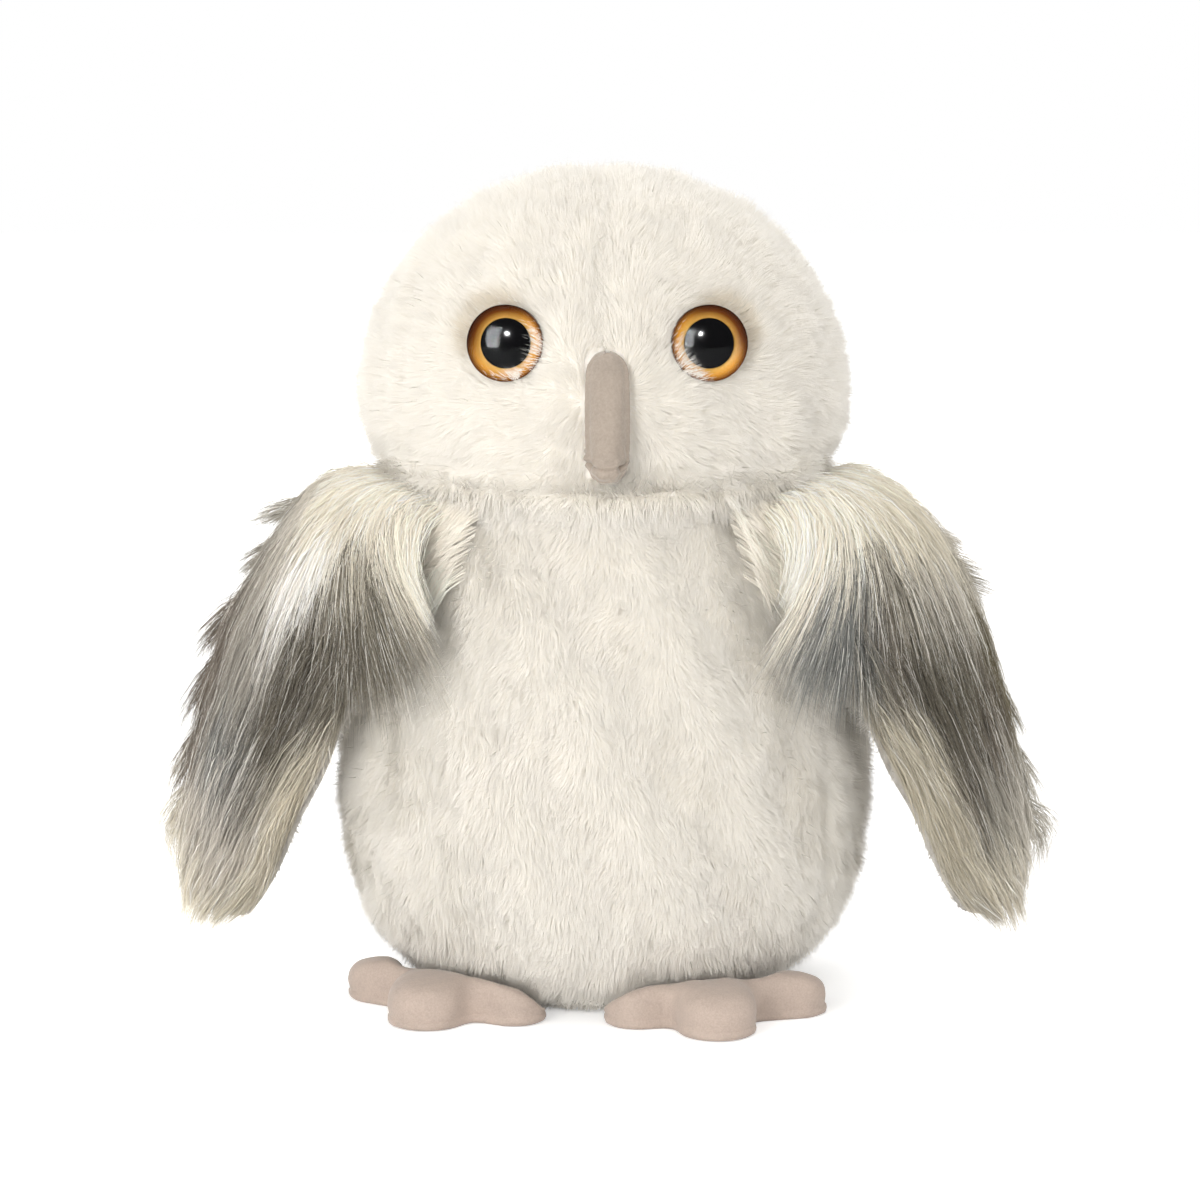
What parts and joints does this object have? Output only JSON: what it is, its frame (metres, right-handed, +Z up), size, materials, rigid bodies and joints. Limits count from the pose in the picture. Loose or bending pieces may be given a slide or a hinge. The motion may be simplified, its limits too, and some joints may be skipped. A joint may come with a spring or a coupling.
{
  "type": "plush owl",
  "caption": "Stuffed owl toy in short white pile with long grey wings, amber eyes and suede beak and feet; head, wings and feet flex at their seams.",
  "frame": {"origin": "on the floor, in the middle of the flat base below the body", "axes": "+Z up; the owl faces -Y, and its own left side is +X"},
  "size_m": [0.2062, 0.1154, 0.2],
  "materials": {
    "white_pile": "short dense off-white plush pile",
    "frosted_pile": "long frosted pile, cream at the root, grey-brown bands, pale tips",
    "lining_pile": "short off-white pile on the wing's underside",
    "suede": "matt taupe suede cloth",
    "stuffing": "loose white polyester fibre",
    "pouch_cloth": "thin plain woven cloth",
    "pellets": "small smooth plastic pellets",
    "tape": "woven cotton tape",
    "thread": "twisted sewing thread",
    "eye_clear": "clear polished plastic",
    "eye_black": "glossy black plastic",
    "eye_amber": "amber plastic, painted behind a clear lens",
    "eye_washer": "natural moulded plastic"
  },
  "bodies": {
    "body": {"base_panel": "white_pile", "belly_panel": "white_pile", "back_panel_left": "white_pile", "back_panel_right": "white_pile", "body_stuffing": "stuffing", "pouch_top_sheet": "pouch_cloth", "pouch_bottom_sheet": "pouch_cloth", "pellet_fill": "pellets", "wing_left_root_tape": "tape", "wing_right_root_tape": "tape", "foot_left_tape": "tape", "foot_right_tape": "tape", "neck_seam_thread": "thread", "closing_stitch": "thread"},
    "head": {"face_panel_left": "white_pile", "face_panel_right": "white_pile", "head_back_panel_left": "white_pile", "head_back_panel_right": "white_pile", "head_stuffing": "stuffing", "beak_front_panel": "suede", "beak_under_panel": "suede", "beak_stuffing": "stuffing", "eye_left_lens": "eye_clear", "eye_left_pupil": "eye_black", "eye_left_iris": "eye_amber", "eye_left_washer": "eye_washer", "eye_right_lens": "eye_clear", "eye_right_pupil": "eye_black", "eye_right_iris": "eye_amber", "eye_right_washer": "eye_washer"},
    "wing_left": {"wing_left_outer": "frosted_pile", "wing_left_lining": "lining_pile"},
    "wing_right": {"wing_right_outer": "frosted_pile", "wing_right_lining": "lining_pile"},
    "foot_left": {"foot_left_upper": "suede", "foot_left_sole": "suede", "foot_left_stuffing": "stuffing"},
    "foot_right": {"foot_right_upper": "suede", "foot_right_sole": "suede", "foot_right_stuffing": "stuffing"}
  },
  "joints": [
    {"name": "head_turn", "type": "hinge", "parent": "body", "child": "head", "pos_m": [0, 0, 0.128], "axis": [0, 0, 1], "range_deg": [-15, 15], "stiffness_Nm_per_rad": 0.15},
    {"name": "wing_left_lift", "type": "hinge", "parent": "body", "child": "wing_left", "pos_m": [0.05043, -0.01424, 0.12474], "axis": [-0.3584, -0.9336, 0], "range_deg": [0, 50]},
    {"name": "wing_right_lift", "type": "hinge", "parent": "body", "child": "wing_right", "pos_m": [-0.05043, -0.01424, 0.12474], "axis": [-0.3584, 0.9336, 0], "range_deg": [0, 50]},
    {"name": "foot_left_lift", "type": "hinge", "parent": "body", "child": "foot_left", "pos_m": [0.02342, -0.03607, 0.0034], "axis": [-0.9703, -0.2419, 0], "range_deg": [0, 18], "stiffness_Nm_per_rad": 0.03},
    {"name": "foot_right_lift", "type": "hinge", "parent": "body", "child": "foot_right", "pos_m": [-0.0345, -0.0288, 0.0034], "axis": [-0.848, 0.5299, 0], "range_deg": [0, 18], "stiffness_Nm_per_rad": 0.03}
  ]
}
